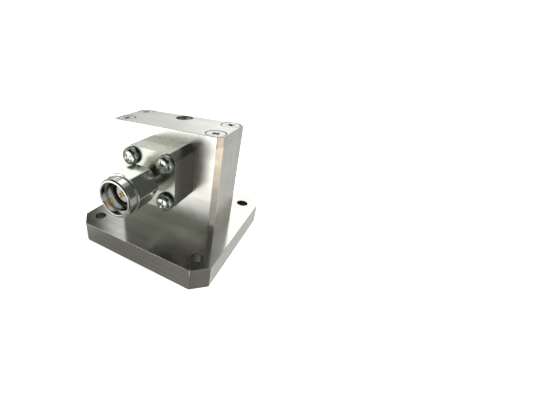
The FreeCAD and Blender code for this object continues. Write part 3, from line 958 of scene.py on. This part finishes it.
@dataclass
class GuideBlock:
    """The milled body, its cover plate, the four cover screws and the set screw."""

    edge: float = 0.12
    cover_edge: float = 0.10
    slot_edge: float = 0.06
    upright_chamfer: float = 1.2
    seam_share: float = 0.15
    hole_share: float = 0.3
    screw_x: float = 13.15
    screw_y: float = 4.4
    tapped_y: float = 4.2
    hole_reach: float = 2.6
    level: float = 0.8
    # painted shade in the countersinks, the tapped hole and the set screw's slot
    sink_shade: float = 0.85
    tapped_shade: float = 0.5
    slot_shade: float = 0.7
    steep: float = 0.5
    turns: tuple[float, ...] = (20.0, 62.0, 8.0, 35.0)
    screw: CrossScrew = CrossScrew(
        head_radius=2.26, head_height=0.1, underside=1.15, dome=0.0,
        reach=1.15, half_width=0.40, depth=1.0, recess_shade=0.95,
    )

    def build(self, crew: Assembly) -> None:
        """Dress the body and the cover and set the screws.

        Args:
            crew: The adapter's assembly.
        """
        block = soften(merged_copy("guide_body", "guide_block"), self.edge, share=self.edge_share)
        crew.settle(block, "body_metal", "guide_body")
        cover = soften(merged_copy("cover_plate", "cover"), self.cover_edge, share=self.edge_share)
        crew.settle(paint_face_shade(cover, self.in_cover_hole), "cover_metal", "cover_plate")
        tuning = soften(merged_copy("set_screw", "tuning_screw"), self.slot_edge)
        crew.settle(paint_face_shade(tuning, self.in_slot), "screw_steel", "set_screw")
        nodes = four_nodes("cover_screw", ("front", "rear"))
        metal = crew.finishes["cover_metal"]
        screws = self.screw.row("cover_screws", nodes, self.turns, UPWARDS, metal)
        crew.settle(screws, "cover_metal", *nodes)

    def in_cover_hole(self, middle: Vector, normal: Vector) -> float:
        """Paint shade on the countersinks and, less, on the tapped hole of the cover.

        Args:
            middle: Middle of a face.
            normal: Its normal.

        Returns:
            The mark.
        """
        if abs(normal.z) > self.level:
            return 0.0
        if math.hypot(abs(middle.x) - self.screw_x, abs(middle.y) - self.screw_y) < self.hole_reach:
            return self.sink_shade
        off = math.hypot(middle.x, middle.y - self.tapped_y)
        return self.tapped_shade if off < self.hole_reach else 0.0

    def in_slot(self, middle: Vector, normal: Vector) -> float:
        """Paint shade on the walls of the set screw's slot."""
        return self.slot_shade if abs(normal.z) < self.steep else 0.0

    def edge_share(self, first: Vector, second: Vector) -> float:
        """Keep the seam under the cover tight and the holes crisp.

        Args:
            first: One end of an edge.
            second: Its other end.

        Returns:
            The edge's share of the rounding.
        """
        low, high = COVER_BOX
        if max(abs(first.z - low.z), abs(second.z - low.z)) < CLOSE:
            return self.seam_share
        middle = (first + second) / 2
        left, before = high.x - abs(middle.x), high.y - abs(middle.y)
        outer = min(left, before, left + before - self.upright_chamfer * MM) < CLOSE
        return 1.0 if outer else self.hole_share


@dataclass
class PortBlock:
    """The square block that holds the connector, with its four round-head screws."""

    edge: float = 0.10
    # painted shade on the sides and, more, on the underside
    side_shade: float = 0.52
    side_facing: float = 0.5
    under_shade: float = 0.8
    under_facing: float = 0.9
    turns: tuple[float, ...] = (25.0, 16.0, 60.0, 68.0)
    screw: CrossScrew = CrossScrew(
        head_radius=2.2, head_height=1.9, underside=0.0, dome=2.9,
        reach=1.2, half_width=0.24, depth=0.35, recess_shade=0.1,
    )

    def build(self, crew: Assembly) -> None:
        """Dress the block and set the screws.

        Args:
            crew: The adapter's assembly.
        """
        block = soften(merged_copy("connector_block", "port_block"), self.edge)
        crew.settle(paint_face_shade(block, self.painted_side_shade), "block_metal", "connector_block")
        nodes = four_nodes("block_screw", ("upper", "lower"))
        steel = crew.finishes["screw_steel"]
        screws = self.screw.row("block_screws", nodes, self.turns, FORWARDS, steel)
        crew.settle(screws, "screw_steel", *nodes)

    def painted_side_shade(self, middle: Vector, normal: Vector) -> float:
        """Mark the darker sawn sides and cuts, and the underside, which the flange mirrors.

        Args:
            middle: Middle of a face; not used.
            normal: Its normal.

        Returns:
            The mark.
        """
        if normal.z < -self.under_facing:
            return self.under_shade
        return self.side_shade if abs(normal.x) > self.side_facing else 0.0


def span_of(node: str) -> Span:
    """Rear and front of a solid as distances along the connector axis."""
    low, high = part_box(node)
    return -high.y / MM, -low.y / MM


@dataclass
class CoaxialPlug:
    """The fixed inner parts of the plug: shell, seal, dielectric and gold contact."""

    turns: int = 128
    contact_turns: int = 64
    bore: float = 2.05
    neck: float = 2.7
    seat: float = 3.6
    seat_length: float = 1.5
    ferrule: float = 2.3
    tip_bevel: float = 0.1
    ring_floor: float = 2.3
    groove: Span = (19.92, 20.52)
    seal: float = 2.65
    face_ring: Profile = ((1.45, 0.0), (1.40, 0.06), (1.05, 0.06), (1.00, 0.0))
    contact: float = 0.635
    pin: float = 0.46
    pin_root: float = 0.45
    pin_taper: float = 0.2
    nose_length: float = 0.3
    nose_round: float = 0.12
    nose_step: float = 0.1
    nose: float = 0.2
    shell_edge: float = 0.05
    seal_edge: float = 0.10
    contact_edge: float = 0.04

    def build(self, crew: Assembly) -> None:
        """Make the turned parts and dress the ones that stay.

        Args:
            crew: The adapter's assembly.
        """
        for name, node, slot, profile, edge in (
            ("plug_shell", "connector_shell", "shell_steel", self.shell_line(), self.shell_edge),
            ("plug_seal", "gasket", "seal_rubber", self.seal_line(), self.seal_edge),
            ("front_dielectric", "dielectric_bead", "dielectric", self.dielectric_line(), self.shell_edge),
        ):
            crew.settle(soften(turned_piece(name, profile, self.turns, True), edge), slot, node)
        contact = turned_piece("gold_contact", self.contact_line(), self.contact_turns, False)
        crew.settle(soften(contact, self.contact_edge), "gold", "centre_contact")
        crew.dress_node("snap_ring", "spring_steel")
        crew.dress_node("dielectric_sleeve", "dielectric")
        crew.dress_node("probe_sleeve", "gold")

    def shell_line(self) -> Profile:
        """Outline of the outer conductor, from its rear bore round to the ferrule's tip.

        Returns:
            The closed outline.
        """
        back, tip = span_of("connector_shell")
        shoulder = span_of("gasket")[0]
        start, end = self.groove
        seat_end, bevel = back + self.seat_length, self.tip_bevel
        return [
            (self.bore, back), (self.seat, back), (self.seat, seat_end), (self.neck, seat_end),
            (self.neck, start), (self.ring_floor, start), (self.ring_floor, end), (self.neck, end),
            (self.neck, shoulder), (self.ferrule, shoulder),
            (self.ferrule, tip - bevel), (self.ferrule - bevel, tip), (self.bore, tip),
        ]

    def seal_line(self) -> Profile:
        """Outline of the sealing ring."""
        back, front = span_of("gasket")
        return [(self.ferrule, back), (self.seal, back), (self.seal, front), (self.ferrule, front)]

    def dielectric_line(self) -> Profile:
        """Outline of the front dielectric, with a shallow turned ring in its face.

        Returns:
            The closed outline.
        """
        back, front = span_of("dielectric_bead")
        ring = [(radius, front - sink) for radius, sink in self.face_ring]
        return [(self.contact, back), (self.bore, back), (self.bore, front), *ring, (self.contact, front)]

    def contact_line(self) -> Profile:
        """Outline of the contact from its end in the guide to the nose of the pin.

        Returns:
            The open outline.
        """
        back, front = span_of("centre_contact")
        root = span_of("dielectric_bead")[1] + self.pin_root
        return [
            (self.contact, back),
            (self.contact, root),
            (self.pin, root + self.pin_taper),
            (self.pin, front - self.nose_length),
            (self.pin - self.nose_step, front - self.nose_round),
            (self.nose, front),
        ]


@dataclass
class CouplingNut:
    """The hexagonal coupling nut with its disc, collar, mouth and inner thread.

    Radii are named by what they bound, and lengths run from the rear face to the front.
    """

    flats: float = 4.0
    corner: float = 4.5588
    rise: float = 0.3
    hexagon: float = 6.7
    disc: float = 0.5
    disc_bevel: float = 0.30
    disc_slope: float = 0.075
    relief_width: float = 0.2
    relief_depth: float = 0.2
    collar: float = 4.3
    rim: float = 0.27
    mouth: float = 3.5
    mouth_depth: float = 1.3
    lead: float = 1.5
    lead_radius: float = 3.25
    bevel: float = 0.16
    thread: float = 2.95
    running: float = 2.78
    ring_groove: float = 3.25
    lip: float = 1.4
    groove_width: float = 0.74
    web: float = 0.86
    flat_steps: int = 16
    edge: float = 0.04
    edge_limit: float = 24.0
    pitch: float = 0.7056
    ridge: float = 0.2
    ridge_sink: float = 0.04
    ridge_steps: int = 64
    # painted shade on the bore behind the dielectric's face
    dark_bore: float = 3.25
    dark_end: float = 25.0
    bore_shade: float = 0.95

    def build(self, crew: Assembly) -> None:
        """Make the nut and its thread.

        Args:
            crew: The nut's assembly.
        """
        nut = soften(loft("hex_nut", self.loops(), closed=True), self.edge, self.edge_limit)
        crew.settle(paint_face_shade(nut, self.in_bore), "nut_steel", "coupling_nut")
        crew.settle(paint_face_shade(self.inner_thread(crew.finishes["nut_steel"]), self.in_bore), "nut_steel")

    def in_bore(self, middle: Vector, normal: Vector) -> float:
        """Paint shade on the bore behind the face of the dielectric."""
        radius = math.hypot(middle.x - AXIS_X / MM, middle.z - AXIS_Z / MM)
        return self.bore_shade if -middle.y < self.dark_end and radius < self.dark_bore else 0.0

    def directions(self) -> list[tuple[float, float]]:
        """Directions round the nut with the reach of the hexagon in each.

        Returns:
            Pairs of angle in radians and radius.
        """
        sides = 6
        turn = 2 * math.pi / sides
        half = math.acos(self.flats / self.corner)
        result = []
        for side in range(sides):
            middle = turn * (side + 0.5)
            for step in range(self.flat_steps + 1):
                off = half * (2 * step / self.flat_steps - 1)
                result.append((middle + off, self.flats / math.cos(off)))
            result.append((middle + turn / 2, self.corner))
        return result

    def loops(self) -> list[Loop]:
        """Loops of the hexagon with its rear chamfer, then the disc, the collar and the bore.

        Returns:
            The loops, from the rear face round to the rear of the bore.
        """
        rear, front = span_of("coupling_nut")
        directions = self.directions()

        def row(place: Callable[[float], tuple[float, float]]) -> Loop:
            """One loop; place gives radius and distance for the hexagon's reach."""
            return [axis_point(angle, *place(reach)) for angle, reach in directions]

        def chamfer(reach: float) -> float:
            """Length of the rear chamfer where the hexagon reaches this far."""
            return self.rise * max(0.0, reach - self.collar) / (self.corner - self.collar)

        hex_end = rear + self.hexagon
        disc_end = hex_end + self.disc
        relief_end = disc_end + self.relief_width
        relief = self.collar - self.relief_depth
        floor = front - self.mouth_depth
        groove = rear + self.lip
        groove_end = groove + self.groove_width
        web_end = groove_end + self.web
        outline = (
            (self.corner, hex_end), (self.corner, disc_end - self.disc_slope),
            (self.corner - self.disc_bevel, disc_end), (relief, disc_end), (relief, relief_end),
            (self.collar, relief_end), (self.collar, front - self.rim), (self.collar - self.rim, front),
            (self.mouth + self.bevel, front), (self.mouth, front - self.bevel), (self.mouth, floor),
            (self.lead_radius, floor), (self.thread, floor - self.lead), (self.thread, web_end),
            (self.running, web_end), (self.running, groove_end),
            (self.ring_groove, groove_end), (self.ring_groove, groove), (self.running, groove),
        )
        return [
            row(lambda reach: (self.running, rear)),
            row(lambda reach: (min(reach, self.collar), rear)),
            row(lambda reach: (reach, rear + chamfer(reach))),
            row(lambda reach: (reach, hex_end)),
            *(row(lambda reach, pair=pair: pair) for pair in outline),
        ]

    def inner_thread(self, finish: bpy.types.Material) -> Piece:
        """Sweep a ridge along a spiral inside the bore.

        Args:
            finish: Material of the thread.

        Returns:
            The thread as one piece.
        """
        rear, front = span_of("coupling_nut")
        start = rear + self.lip + self.groove_width + self.web + self.ridge
        end = front - self.mouth_depth - self.lead - self.ridge
        recipe = Recipe("inner_thread_sweep", {
            "Turns": ("NodeSocketFloat", (end - start) / self.pitch),
            "Radius": ("NodeSocketFloat", (self.thread + self.ridge_sink) * MM),
            "Length": ("NodeSocketFloat", (end - start) * MM),
            "Ridge": ("NodeSocketFloat", self.ridge * MM),
            "Start": ("NodeSocketVector", (AXIS_X, -start * MM, AXIS_Z)),
            "Tilt": ("NodeSocketVector", (math.pi / 2, 0.0, 0.0)),
            "Finish": ("NodeSocketMaterial", finish),
        })
        desk, given = recipe.desk, recipe.given
        helix = desk.add("GeometryNodeCurveSpiral", {
            "Resolution": self.ridge_steps,
            "Rotations": given["Turns"],
            "Start Radius": given["Radius"],
            "End Radius": given["Radius"],
            "Height": given["Length"],
        }).outputs[0]
        steady = desk.add("GeometryNodeSetCurveNormal", {"Curve": helix}, mode="Z_UP").outputs[0]
        square = {"Resolution": 4, "Radius": given["Ridge"]}
        section = desk.add("GeometryNodeCurvePrimitiveCircle", square).outputs[0]
        sweep = {"Curve": steady, "Profile Curve": section, "Fill Caps": True}
        placed = desk.add("GeometryNodeTransform", {
            "Geometry": desk.add("GeometryNodeCurveToMesh", sweep).outputs[0],
            "Translation": given["Start"],
            "Rotation": desk.add("FunctionNodeEulerToRotation", {0: given["Tilt"]}).outputs[0],
        })
        recipe.end(placed.outputs[0])
        return recipe.run(new_piece("nut_thread", bpy.data.meshes.new("nut_thread")))


# --- Studio ---


@dataclass(frozen=True)
class Panel:
    """A soft-edged panel on the studio's surroundings, painted over the ones before it.

    Bearings run from +Y round over +X and heights up from the horizon.
    """

    bearing: Span
    height: Span
    colour: Colour
    edge: float


PANELS = (
    # Mirrored by what looks to the front: body, block, and the heads and collars before them
    Panel((-170, -126), (-28, 8), (1.85, 1.85, 1.80), 2.5),
    Panel((-159, -137.5), (-9, 1), (6.20, 6.20, 5.95), 2.5),
    Panel((-178, -153), (-22, -6), (4.20, 4.20, 4.05), 3.5),
    Panel((-168, -112), (10, 21), (0.92, 0.92, 0.83), 2.0),
    Panel((-145, -131), (21, 26), (1.15, 1.28, 1.10), 2.0),
    Panel((-190, -116), (28, 75), (0.005, 0.005, 0.002), 2.5),
    Panel((-190, -149), (22, 75), (0.01, 0.009, 0.004), 2.0),
    Panel((-154, -147), (32, 36), (0.85, 0.95, 0.78), 3.0),
    Panel((-206, -100), (-90, -34), (0.165, 0.16, 0.14), 3.0),
    Panel((-206, -143), (-90, -36), (0.20, 0.195, 0.17), 6.0),
    # Mirrored by what lies level: flange, cover, top of the block and of the nut
    Panel((-60, -8), (8, 22), (0.56, 0.565, 0.545), 8.0),
    Panel((-31, -4), (8, 22), (1.25, 1.25, 1.22), 9.0),
    Panel((-66, -48.5), (27, 60), (0.05, 0.047, 0.04), 2.5),
    Panel((-47, -34), (31, 60), (0.74, 0.74, 0.72), 3.0),
    Panel((-70, -44), (-60, -5), (0.16, 0.16, 0.15), 4.0),
    Panel((-45, -33), (20.5, 27.5), (1.60, 1.78, 1.60), 1.5),
    Panel((-26, 6), (24, 60), (1.35, 1.33, 1.30), 5.0),
    # Mirrored by the right sides
    Panel((26, 70), (-8, 50), (0.08, 0.085, 0.075), 5.0),
    Panel((8, 30), (-60, -8), (0.57, 0.57, 0.55), 4.0),
    # Mirrored by the chamfers and cuts between front and right
    Panel((95, 118), (-24, -5), (1.70, 1.45, 1.10), 5.0),
    Panel((95, 125), (-90, -36), (0.18, 0.17, 0.155), 5.0),
    Panel((95, 125), (28, 60), (0.03, 0.03, 0.025), 5.0),
    Panel((120, 158), (-60, -5), (0.08, 0.068, 0.052), 3.0),
    Panel((128, 172), (8, 60), (0.02, 0.02, 0.018), 4.0),
)


@dataclass
class Studio:
    """Floor, surroundings, lamp and camera.

    The camera's focal length and centre are in pixels of the photograph's frame. The lamp's and the
    camera's place and size are in metres.
    """

    surround: Colour = (0.40, 0.397, 0.37)
    floor_side: float = 6.0
    floor_gap: float = 0.05
    floor_colour: Colour = (0.93, 0.93, 0.92)
    floor_glow: float = 0.75
    lamp_place: tuple[float, float, float] = (0.10, 0.12, 0.55)
    lamp_size: float = 0.6
    lamp_power: float = 4.0
    focal: float = 272.05
    frame_width: int = 560
    frame_height: int = 400
    centre: tuple[float, float] = (161.94, 201.77)
    place: tuple[float, float, float] = (0.037207, -0.061700, 0.050906)
    yaw: float = 34.108
    pitch: float = 30.433
    roll: float = 0.073
    sensor: float = 36.0
    near: float = 0.001

    def build(self) -> None:
        """Set up the whole studio."""
        self.world()
        self.floor()
        self.lamp()
        self.camera()

    def world(self) -> None:
        """Paint the softboxes on the surroundings; the camera itself sees plain white."""
        world = bpy.data.worlds.new("studio")
        bpy.context.scene.world = world
        world.use_nodes = True
        world.node_tree.nodes.clear()
        desk = Desk(world.node_tree)
        ray = desk.split(desk.add("ShaderNodeTexCoord").outputs["Generated"])
        bearing = desk.maths("DEGREES", desk.maths("ARCTAN2", ray[0], ray[1]))
        height = desk.maths("DEGREES", desk.maths("ARCSINE", ray[2]))

        def inside(value: Value, span: Span, edge: float, wrap: bool) -> Socket:
            """Find where an angle lies in a span with soft ends.

            Args:
                value: The angle in degrees.
                span: The span.
                edge: Half the width of a soft end.
                wrap: Whether the span may go round past 180 degrees.

            Returns:
                1 inside and 0 outside.
            """
            off = desk.maths("SUBTRACT", value, sum(span) / 2)
            if wrap:
                off = desk.maths("WRAP", off, 180.0, -180.0)
            reach = (span[1] - span[0]) / 2
            return desk.spread(desk.maths("ABSOLUTE", off), reach - edge, reach + edge, 1.0, 0.0)

        colour: Value = self.surround
        for panel in PANELS:
            side = inside(bearing, panel.bearing, panel.edge, True)
            level = inside(height, panel.height, panel.edge, False)
            colour = desk.blend(desk.maths("MULTIPLY", side, level), colour, panel.colour)
        painted = desk.add("ShaderNodeBackground", {"Color": colour, "Strength": 1.0}).outputs[0]
        plain = desk.add("ShaderNodeBackground", {"Color": WHITE, "Strength": 1.0}).outputs[0]
        seen = desk.add("ShaderNodeLightPath").outputs["Is Camera Ray"]
        mixed = desk.add("ShaderNodeMixShader", {0: seen, 1: painted, 2: plain}).outputs[0]
        desk.add("ShaderNodeOutputWorld", {0: mixed})

    def floor(self) -> None:
        """Lay a plain pale floor under the flange, clear from below and not mirrored."""
        half, level = self.floor_side / 2, -self.floor_gap * MM
        corners = [(-half, -half, level), (half, -half, level), (half, half, level), (-half, half, level)]
        mesh = bpy.data.meshes.new("floor")
        mesh.from_pydata(corners, [], [(0, 1, 2, 3)])
        piece = new_piece("floor", mesh)
        made, desk = blank_material("floor_paper")
        matt = desk.add("ShaderNodeBsdfDiffuse", {"Color": (*self.floor_colour, 1.0)}).outputs[0]
        glow = desk.add("ShaderNodeEmission", {"Color": WHITE, "Strength": self.floor_glow}).outputs[0]
        both = desk.add("ShaderNodeAddShader", {0: matt, 1: glow}).outputs[0]
        below = desk.add("ShaderNodeNewGeometry").outputs["Backfacing"]
        clear = desk.add("ShaderNodeBsdfTransparent").outputs[0]
        paper = desk.add("ShaderNodeMixShader", {0: below, 1: both, 2: clear}).outputs[0]
        desk.add("ShaderNodeOutputMaterial", {0: paper})
        mesh.materials.append(made)
        piece.visible_glossy = False

    def lamp(self) -> None:
        """Hang one wide soft lamp over the object."""
        data = bpy.data.lights.new("overhead", "AREA")
        data.shape = "DISK"
        data.size = self.lamp_size
        data.energy = self.lamp_power
        lamp = bpy.data.objects.new("overhead", data)
        bpy.context.scene.collection.objects.link(lamp)
        lamp.location = self.lamp_place
        lamp.rotation_euler = (-lamp.location).to_track_quat("-Z", "Y").to_euler()
        lamp.visible_glossy = False

    def camera(self) -> None:
        """Place the camera at the photograph's angle and framing."""
        data = bpy.data.cameras.new("camera")
        data.sensor_width = self.sensor
        data.lens = self.focal / self.frame_width * self.sensor
        data.shift_x = (self.frame_width / 2 - self.centre[0]) / self.frame_width
        data.shift_y = (self.centre[1] - self.frame_height / 2) / self.frame_width
        data.clip_start = self.near
        piece = bpy.data.objects.new("camera", data)
        bpy.context.scene.collection.objects.link(piece)
        pose = Matrix.Translation(Vector(self.place))
        for angle, axis in ((self.yaw, "Z"), (90.0 - self.pitch, "X"), (self.roll, "Z")):
            pose = pose @ Matrix.Rotation(math.radians(angle), 4, axis)
        piece.matrix_world = pose
        bpy.context.scene.camera = piece
        bpy.context.scene.view_settings.view_transform = "Standard"


def main() -> None:
    """Build the finishes, the sub-assemblies in order, and the studio."""
    logging.basicConfig(level=logging.INFO, format="%(message)s", stream=sys.stdout)
    shop = Workshop()
    finishes = {finish.name: finish.material(shop) for finish in FINISHES}
    adapter, nut = Assembly(ADAPTER, finishes), Assembly(NUT, finishes)
    for part, crew in (
        (FlangePlate(), adapter),
        (GuideBlock(), adapter),
        (PortBlock(), adapter),
        (CoaxialPlug(), adapter),
        (CouplingNut(), nut),
    ):
        part.build(crew)
        log.info("%s built", type(part).__name__)
    Studio().build()


if __name__ == "__main__":
    main()
